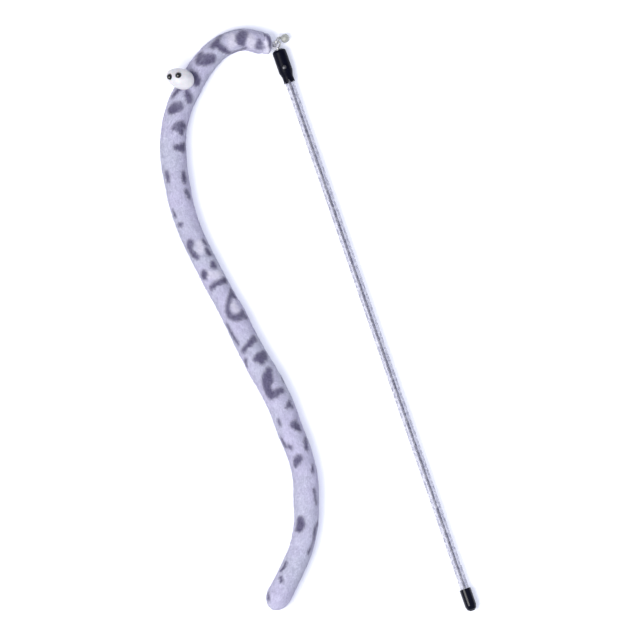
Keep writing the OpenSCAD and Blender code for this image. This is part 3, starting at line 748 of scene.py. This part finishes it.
def store(piece, name, values, kind="FLOAT"):
    """Keeps a number or a vector for each point of a mesh, where materials can read it."""
    layer = piece.data.attributes.new(name, kind, "POINT")
    key = "vector" if kind == "FLOAT_VECTOR" else "value"
    layer.data.foreach_set(key, np.asarray(values, np.float32).ravel())


def set_uv(piece, uv_of_corner):
    """Keeps a place on a flat sheet for each corner of each face, for baking."""
    layer = piece.data.uv_layers.new(name="OFBake")
    layer.data.foreach_set("uv", np.asarray(uv_of_corner, np.float32).ravel())


def grid_faces(rows, columns):
    """The faces of a tube of rows of points, each row a closed ring of columns."""
    return [(i * columns + j, i * columns + (j + 1) % columns, (i + 1) * columns + (j + 1) % columns,
             (i + 1) * columns + j) for i in range(rows - 1) for j in range(columns)]


# %% Smooth noise
WAVES = 20
WAVE_SPREAD = (0.5, 1.2)


def waves(points, size, seed):
    """Smooth noise about 0, within about 1, with features of about a size in metres."""
    draw = np.random.default_rng(seed)
    crests = draw.normal(size=(WAVES, points.shape[-1]))
    crests *= ((2 * math.pi / size) * draw.uniform(*WAVE_SPREAD, (WAVES, 1))
               / np.linalg.norm(crests, axis=1, keepdims=True))
    return np.sin(points @ crests.T + draw.uniform(0, 2 * math.pi, WAVES)).sum(-1) / math.sqrt(WAVES)


# %% [markdown]
# ## Shape of the skin
# The plush is sewn to a tube, stuffed, and closed at both ends. It lies flat where it rests on
# the floor, bulges a little where the stuffing is thicker, and is drawn in by a hem near its
# hanging end. Cloth could be simulated, but then the pile and the spots would have to be placed
# on whatever comes out. One function gives the place of any step and angle instead, so that
# skin, pile and spots always agree. The solid tube has 12 sides and stands on a flat one, and
# that sets how high the skin's middle line lies.

# %% Sizes of the skin
PILE_T = 0.55 * MM
FLOOR_GAP = 0.25 * MM
FLAT = 0.5 * MM
CAD_SIDES = 12
HEM_AT, HEM_W, HEM_DEPTH = 0.16, 0.055, 0.75 * MM
PLEATS, PLEAT_SHARE = 14, 0.25
BULGE_SHARE, BULGE_SIZE, BULGE_SEED = 0.012, 30 * MM, 3
DIMPLE_H, DIMPLE_SIZE, DIMPLE_SEED = 0.10 * MM, 5 * MM, 4
PRESSED_SHARE = 0.2
print("skin under the pile", round(TAIL_D - 2 * PILE_T, 4), "thick at its thickest")

# %% Places on the skin


def skin_points(u, angle, lift):
    """Places on the tail at steps u and angle from its top, lifted off the skin."""
    inside = np.clip(u, 0, STEPS)
    place, along, radius = route(inside)
    beyond = (u - inside) * STEP
    share = np.clip(np.abs(beyond) / np.where(beyond < 0, NEAR_END, FAR_END), 0, 1)
    place = place + along * (beyond + np.sign(beyond) * lift * share)[..., None]
    bulk = radius - PILE_T
    where = np.stack([u * STEP, bulk * np.cos(angle), bulk * np.sin(angle)], -1)
    bulk = (bulk * (1 + BULGE_SHARE * waves(where, BULGE_SIZE, BULGE_SEED))
            + DIMPLE_H * waves(where, DIMPLE_SIZE, DIMPLE_SEED))
    hem = np.exp(-((u - HEM_AT) / HEM_W) ** 2)
    bulk = bulk - HEM_DEPTH * hem * (1 + PLEAT_SHARE * np.cos(angle * PLEATS))
    r = (bulk + lift) * np.sqrt(np.clip(1 - share ** 2, 0, 1))
    side = np.stack([-along[..., 1], along[..., 0]], -1)
    flat = place + side * (r * np.sin(angle))[..., None]
    axis_h = radius * math.cos(math.pi / CAD_SIDES) - FLAT
    z = np.maximum(axis_h + r * np.cos(angle), FLOOR_GAP - lift * PRESSED_SHARE)
    return np.concatenate([flat, z[..., None]], -1)


def skin_data(piece, u, angle, tone):
    """Keeps on a mesh what the plush look reads."""
    u, radius = flattened(u)
    store(piece, "skin_place", np.stack([u * STEP, radius * np.cos(angle), radius * np.sin(angle)], -1),
          "FLOAT_VECTOR")
    store(piece, "spot_depth", depth_in(dabs, u, angle, radius))
    store(piece, "pale_depth", depth_in(pale_dabs, u, angle, radius))
    store(piece, "tone", tone)


# %% [markdown]
# ## A stretch of skin
# The real skin is one piece, and the tail bends at four joints. A piece can bend across one joint
# only, so the skin is cut into four, each cut in the middle of a stiff stretch where nothing
# moves and no seam opens. The first and the last stretch are closed by a dome.

# %% A stretch of skin
SIDES = 84
RINGS_A_STEP = 24
END_RINGS = 16
DOME_SHARE = 0.985
TONE_SHARE, TONE_SIZE, TONE_SEED = 0.03, 9 * MM, 8


def skin_rings(u0, u1, first, last):
    """Steps of the rings of a stretch, with those of a rounded end where it has one."""
    u = np.linspace(u0, u1, int(round((u1 - u0) * RINGS_A_STEP)) + 1)
    dome = np.sin(np.linspace(0, math.pi / 2, END_RINGS + 1)[1:] * DOME_SHARE)
    if first:
        u = np.concatenate([-dome[::-1] * NEAR_END / STEP, u])
    if last:
        u = np.concatenate([u, STEPS + dome * FAR_END / STEP])
    return u


def skin_sheet(u, first, last):
    """Where each corner of the skin's faces lies on the flat sheet that is baked."""
    corners = []
    along = (u - u[0]) / (u[-1] - u[0])
    for s0, s1 in zip(along[:-1], along[1:]):
        for j in range(SIDES):
            v0, v1 = j / SIDES, (j + 1) / SIDES
            corners += [(s0, v0), (s0, v1), (s1, v1), (s1, v0)]
    return corners + [(0.0, 0.5)] * SIDES * first + [(1.0, 0.5)] * SIDES * last


def skin_piece(name, u0, u1, first, last):
    """The skin from step u0 to step u1."""
    u = skin_rings(u0, u1, first, last)
    angle = np.linspace(0, 2 * math.pi, SIDES, endpoint=False)
    uu, aa = np.meshgrid(u, angle, indexing="ij")
    points = skin_points(uu, aa, 0.0).reshape(-1, 3)
    faces = grid_faces(len(u), SIDES)
    if first:
        faces.append(tuple(range(SIDES - 1, -1, -1)))
    if last:
        faces.append(tuple(range(len(points) - SIDES, len(points))))
    skin = mesh_object(name, points, faces, plush)
    uu, aa = uu.ravel(), aa.ravel()
    flat_place = np.stack([uu * STEP, aa * TAIL_D / 2], -1)
    skin_data(skin, uu, aa, TONE_SHARE * waves(flat_place, TONE_SIZE, TONE_SEED))
    set_uv(skin, skin_sheet(u, first, last))
    return skin


# %% [markdown]
# ## A stretch of pile
# Plush is a field of short fibres that lean the way it was brushed, here towards the tail's tip.
# Blender's own hair would do, but it isn't a mesh and couldn't leave in the export. Each tuft is
# one thin triangle, rooted just under the skin. Near the hem the pile is kept short, because
# the swivel's eye swings past it, and against the floor it is pressed flat.

# %% Sizes of the pile
PILE_DENSITY = 2.3e6
TUFT_LENGTH_IN_MM = (1.5, 2.8)
TUFT_WIDTH_IN_MM = (0.16, 0.30)
TUFT_RISE_IN_MM = (0.35, 1.0)
TUFT_TURN = 0.55
ROOT_DEPTH = 0.05 * MM
SHORT_PILE_SHARE = 0.2
LEAST_ROUND_SHARE = 0.2
DOME_SLOPES = (-0.3, 1.5)
TUFT_TONES = (-0.10, 0.12)
# Painted shade at each tuft's two root corners and painted light at its tip.
ROOT_SHADE_TIP_LIGHT = (-0.06, -0.06, 0.08)
CORNER_PLACES = np.array([(0.1, 0.1), (0.9, 0.1), (0.5, 0.9)])
print("tufts a square centimetre", round(PILE_DENSITY / 100 ** 2))

# %% Where the tufts stand


def tuft_roots(draw, u0, u1, first, last):
    """Step, angle, slope on a dome, way out of it and its height, for each tuft of a stretch."""
    count = int((u1 - u0) * STEP * math.pi * TAIL_D * PILE_DENSITY)
    u, angle = draw.uniform(u0, u1, count), draw.uniform(0, 2 * math.pi, count)
    slope, way_out, dome_h = np.zeros(count), np.ones(count), np.zeros(count)
    for out, end_u, h, here in [(-1, 0.0, NEAR_END, first), (1, STEPS, FAR_END, last)]:
        n = int(math.pi * (TAIL_D / 2) ** 2 * (1 + h / TAIL_D) * PILE_DENSITY) if here else 0
        share = draw.uniform(0, 1, n)
        slope = np.concatenate([slope, np.arccos(np.sqrt(share)) if out < 0 else np.arcsin(share)])
        angle = np.concatenate([angle, draw.uniform(0, 2 * math.pi, n)])
        way_out = np.concatenate([way_out, np.full(n, out)])
        u = np.concatenate([u, np.full(n, end_u)])
        dome_h = np.concatenate([dome_h, np.full(n, h)])
    return u, angle, slope, way_out, dome_h


# %% A stretch of pile


def tuft_points(draw, base_u, angle, slope, way_out, dome_h):
    """Steps of the roots, and the three corners of each tuft."""
    count = len(base_u)
    length = draw.uniform(*TUFT_LENGTH_IN_MM, count) * MM
    width = draw.uniform(*TUFT_WIDTH_IN_MM, count) * MM
    yaw = draw.normal(0, TUFT_TURN, count)
    rise = draw.uniform(*TUFT_RISE_IN_MM, count) * MM
    rise[base_u < HEM_AT] *= SHORT_PILE_SHARE
    on_dome = dome_h > 0
    radius = route(base_u)[2]
    round_r = radius * np.maximum(np.cos(slope), LEAST_ROUND_SHARE)
    u = base_u + way_out * np.sin(slope) * dome_h / STEP
    tip_slope = np.clip(slope + way_out * length * np.cos(yaw) / radius, *DOME_SLOPES)
    tip_u = np.where(on_dome, base_u + way_out * np.sin(tip_slope) * dome_h / STEP,
                     u + length * np.cos(yaw) / STEP)
    wide_u = np.where(on_dome, 0, -width * np.sin(yaw) / STEP)
    wide_a = width * np.where(on_dome, 1, np.cos(yaw)) / round_r
    root_a = skin_points(u - wide_u, angle - wide_a, -ROOT_DEPTH)
    root_b = skin_points(u + wide_u, angle + wide_a, -ROOT_DEPTH)
    tip = skin_points(tip_u, angle + length * np.sin(yaw) / round_r, rise)
    return u, np.stack([root_a, root_b, tip], 1).reshape(-1, 3)


def pile_piece(name, u0, u1, first, last, seed):
    """Short tufts of pile that stand off the skin and lean towards the tail's tip."""
    draw = np.random.default_rng(seed)
    base_u, angle, slope, way_out, dome_h = tuft_roots(draw, u0, u1, first, last)
    u, points = tuft_points(draw, base_u, angle, slope, way_out, dome_h)
    count = len(u)
    pile = mesh_object(name, points, [(3 * i, 3 * i + 1, 3 * i + 2) for i in range(count)], pile_look)
    # Each tuft gets a random tone, with painted shade at its roots and painted light at its tip.
    tone = np.repeat(draw.uniform(*TUFT_TONES, count), 3) + np.tile(ROOT_SHADE_TIP_LIGHT, count)
    skin_data(pile, np.repeat(u, 3), np.repeat(angle, 3), tone)
    across = int(math.ceil(math.sqrt(count)))
    cell = np.stack([np.arange(count) % across, np.arange(count) // across], -1) / across
    set_uv(pile, (cell[:, None] + CORNER_PLACES[None] / across).reshape(-1, 2))
    return pile


# %% [markdown]
# ## The tail, put together
# The stuffing never shows, so the skin stands in for the stretch's cover and its stuffing alike.

# %% Skin and pile
CUTS = [0.0, 8.5, 13.5, 18.5, STEPS]
BEND_STEPS = [6, 11, 16, 21]
BEND_REACH = 1.5
for k, middle in enumerate(BEND_STEPS):
    first, last = k == 0, middle == BEND_STEPS[-1]
    names = ["tail_cover_%d" % (k + 1), "tail_filling_%d" % (k + 1)]
    if last:
        names += ["tail_cover_%d" % (k + 2), "tail_filling_%d" % (k + 2)]
    skin = skin_piece("plush_%d" % (k + 1), CUTS[k], CUTS[k + 1], first, last)
    pile = pile_piece("pile_%d" % (k + 1), CUTS[k], CUTS[k + 1], first, last, SEED + k)
    place, _, radius = route([middle - BEND_REACH, middle + BEND_REACH])
    for piece in (skin, pile):
        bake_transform(piece)
    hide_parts(*names)
    print(skin.name, len(skin.data.vertices), "points,", pile.name, len(pile.data.polygons), "tufts")

# %% [markdown]
# ## Strands
# A cord is plies laid round each other, and a wire rope is wires laid the same way. Both could be
# a plain tube with a bumpy look, but the strands stand out against the light. One helper makes
# round strands along any paths, and the cord and the wires only have to say where they run.

# %% Strand helpers


def swept(path, radius, sides):
    """The ring points of a tube along a path that isn't upright."""
    path = np.asarray(path, float)
    along = np.gradient(path, axis=0)
    along /= np.linalg.norm(along, axis=1, keepdims=True)
    a = np.cross(along, [0, 0, 1.0])
    a /= np.linalg.norm(a, axis=1, keepdims=True)
    b = np.cross(along, a)
    angle = np.linspace(0, 2 * math.pi, sides, endpoint=False)
    ring = np.cos(angle)[None, :, None] * a[:, None] + np.sin(angle)[None, :, None] * b[:, None]
    return (path[:, None] + radius * ring).reshape(-1, 3)


def strands(paths, radius, sides):
    """Points and faces of round strands along paths with equally many places."""
    faces = []
    for k, path in enumerate(paths):
        base = k * sides * len(path)
        faces += [tuple(base + i for i in face) for face in grid_faces(len(path), sides)]
    return np.concatenate([swept(path, radius, sides) for path in paths]), faces


# %% [markdown]
# ## Hanging cord
# The tail hangs on a loop of three-ply cord, sewn into its end and laid over the link ring. The
# loop's line is two straight legs and half a circle round the ring's wire, where its solid is,
# and the three plies turn round that line.

# %% Line of the cord
CORD_R = 1.65 * MM
CORD_IN = 3 * MM
LEG_PLACES, BOW_PLACES = 24, 40
cord_centre = np.array(joint["tail_swing"]["pos_m"])
leg = ends[0] - cord_centre[:2]
leg_way = np.array([*leg / np.linalg.norm(leg), 0])
leg_side = np.array([-leg_way[1], leg_way[0], 0])
leg_l = np.linalg.norm(leg) - NEAR_END + CORD_IN
bow = np.linspace(-math.pi / 2, math.pi / 2, BOW_PLACES)
core = np.concatenate([
    cord_centre - CORD_R * leg_side + np.linspace(leg_l, 0, LEG_PLACES, endpoint=False)[:, None] * leg_way,
    cord_centre - CORD_R * (np.cos(bow)[:, None] * leg_way - np.sin(bow)[:, None] * leg_side),
    cord_centre + CORD_R * leg_side + np.linspace(0, leg_l, LEG_PLACES + 1)[1:, None] * leg_way])
print("cord leg", round(float(leg_l), 4))

# %% Cord loop
PLIES, PLY_SIDES = 3, 8
PLY_R = 0.42 * MM
PLY_OUT = 0.36 * MM
TURNS = 7
up = np.array([0, 0, 1.0])
core_way = np.gradient(core, axis=0)
core_way /= np.linalg.norm(core_way, axis=1, keepdims=True)
out = np.cross(core_way, up)
run = np.concatenate([[0], np.cumsum(np.linalg.norm(np.diff(core, axis=0), axis=1))])
plies = []
for k in range(PLIES):
    phase = 2 * math.pi * (k / PLIES + TURNS * run / run[-1])
    plies.append(core + PLY_OUT * (np.cos(phase)[:, None] * out + np.sin(phase)[:, None] * up))
cord_look = solid_look("cord", (0.50, 0.49, 0.56), (0.68, 0.67, 0.74), (0.8, 0.95), scale=3500,
                       bump=0.7, bump_scale=6000)
cord = mesh_object("twisted_cord", *strands(plies, PLY_R, PLY_SIDES), cord_look)
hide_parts("cord_loop")
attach(cord, "tail_1")
print("cord", len(cord.data.vertices), "points")

# %% [markdown]
# ## Twisted core
# The rod's core is seven thin steel wires laid as a rope, one in the middle and six round it. It
# shows as a dark line with bright flecks through the clear sleeve. Six wires of a third of the
# core's width fit exactly round a seventh, so the wires' size follows from the core's.

# %% Wire core
LAY = 13 * MM
PLACES_A_LAY = 12
OUTER_WIRES, WIRE_SIDES = 6, 6
low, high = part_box("wire_core")
CORE_R = (high[2] - low[2]) / 2
WIRE_R = CORE_R / 3
core_y = np.arange(low[1], high[1], LAY / PLACES_A_LAY)
wires = []
for k in range(OUTER_WIRES + 1):
    off = CORE_R - WIRE_R if k < OUTER_WIRES else 0
    phase = 2 * math.pi * (k / OUTER_WIRES + core_y / LAY)
    wires.append(np.stack([TIP[0] + off * np.cos(phase), core_y, TIP[2] + off * np.sin(phase)], -1))
rope = mesh_object("twisted_wires", *strands(wires, WIRE_R, WIRE_SIDES), steel)
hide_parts("wire_core")
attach(rope, "wand")
print("wires", len(rope.data.vertices), "points")

# %% [markdown]
# ## Looks of the solids that stay
# The hard pieces are shown as their CAD solids, which already have the right shape. They only
# need a material, and one list says which.

# %% Solids
LOOKS = {
    "clear_sleeve": clear, "end_cap": black_cap, "connector_body": black, "core_stop": crimp,
    "core_ferrule": crimp, "lock_pin": dark_steel, "swivel_barrel": dark_steel, "swivel_eye": nickel,
    "link_ring": nickel, "bell_upper": bell_metal, "bell_lower": bell_metal, "bell_pea": pea_steel,
    "eye_pod": white, "pupil_left": bead, "pupil_right": bead, "eye_thread": thread,
}
for name, material in LOOKS.items():
    mesh = nodes[name].data
    if not mesh.materials:
        mesh.materials.append(material)
    for k in range(len(mesh.materials)):
        mesh.materials[k] = material
print("looks", len(LOOKS))
